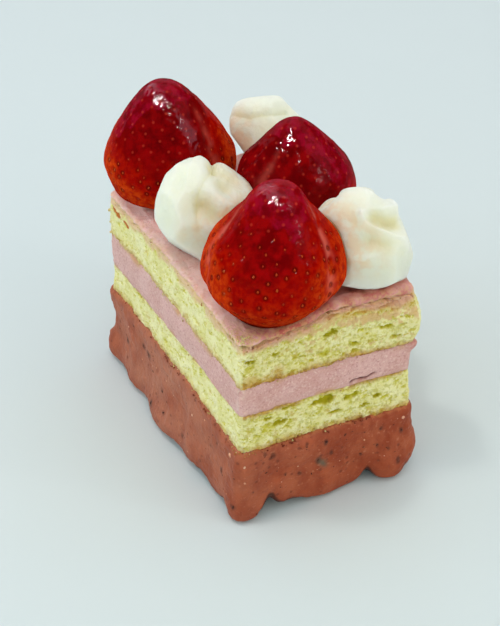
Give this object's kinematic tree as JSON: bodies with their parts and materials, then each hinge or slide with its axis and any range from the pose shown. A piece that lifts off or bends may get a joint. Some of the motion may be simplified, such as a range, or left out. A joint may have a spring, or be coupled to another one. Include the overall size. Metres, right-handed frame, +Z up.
{
  "type": "layered strawberry cream cake slice",
  "caption": "Rectangular slice of pistachio sponge and pink cream on a coated base, topped with whole strawberries and piped cream.",
  "frame": {"origin": "centre of the flat underside", "axes": "+Z up, the short cut face looks along -Y and the long cut face along -X"},
  "size_m": [0.0539, 0.0871, 0.0852],
  "materials": {
    "coating": "satin",
    "sponge": "matte",
    "mousse": "matte",
    "top_cream": "satin",
    "strawberry": "gloss",
    "cream": "matte"
  },
  "bodies": {
    "root": {"coated_base": "coating", "sponge_lower": "sponge", "cream_middle": "mousse", "sponge_upper": "sponge", "cream_top": "top_cream", "strawberry_front": "strawberry", "strawberry_middle": "strawberry", "strawberry_back": "strawberry", "cream_dollop_left": "cream", "cream_dollop_right": "cream", "cream_dollop_back": "cream"}
  },
  "joints": []
}
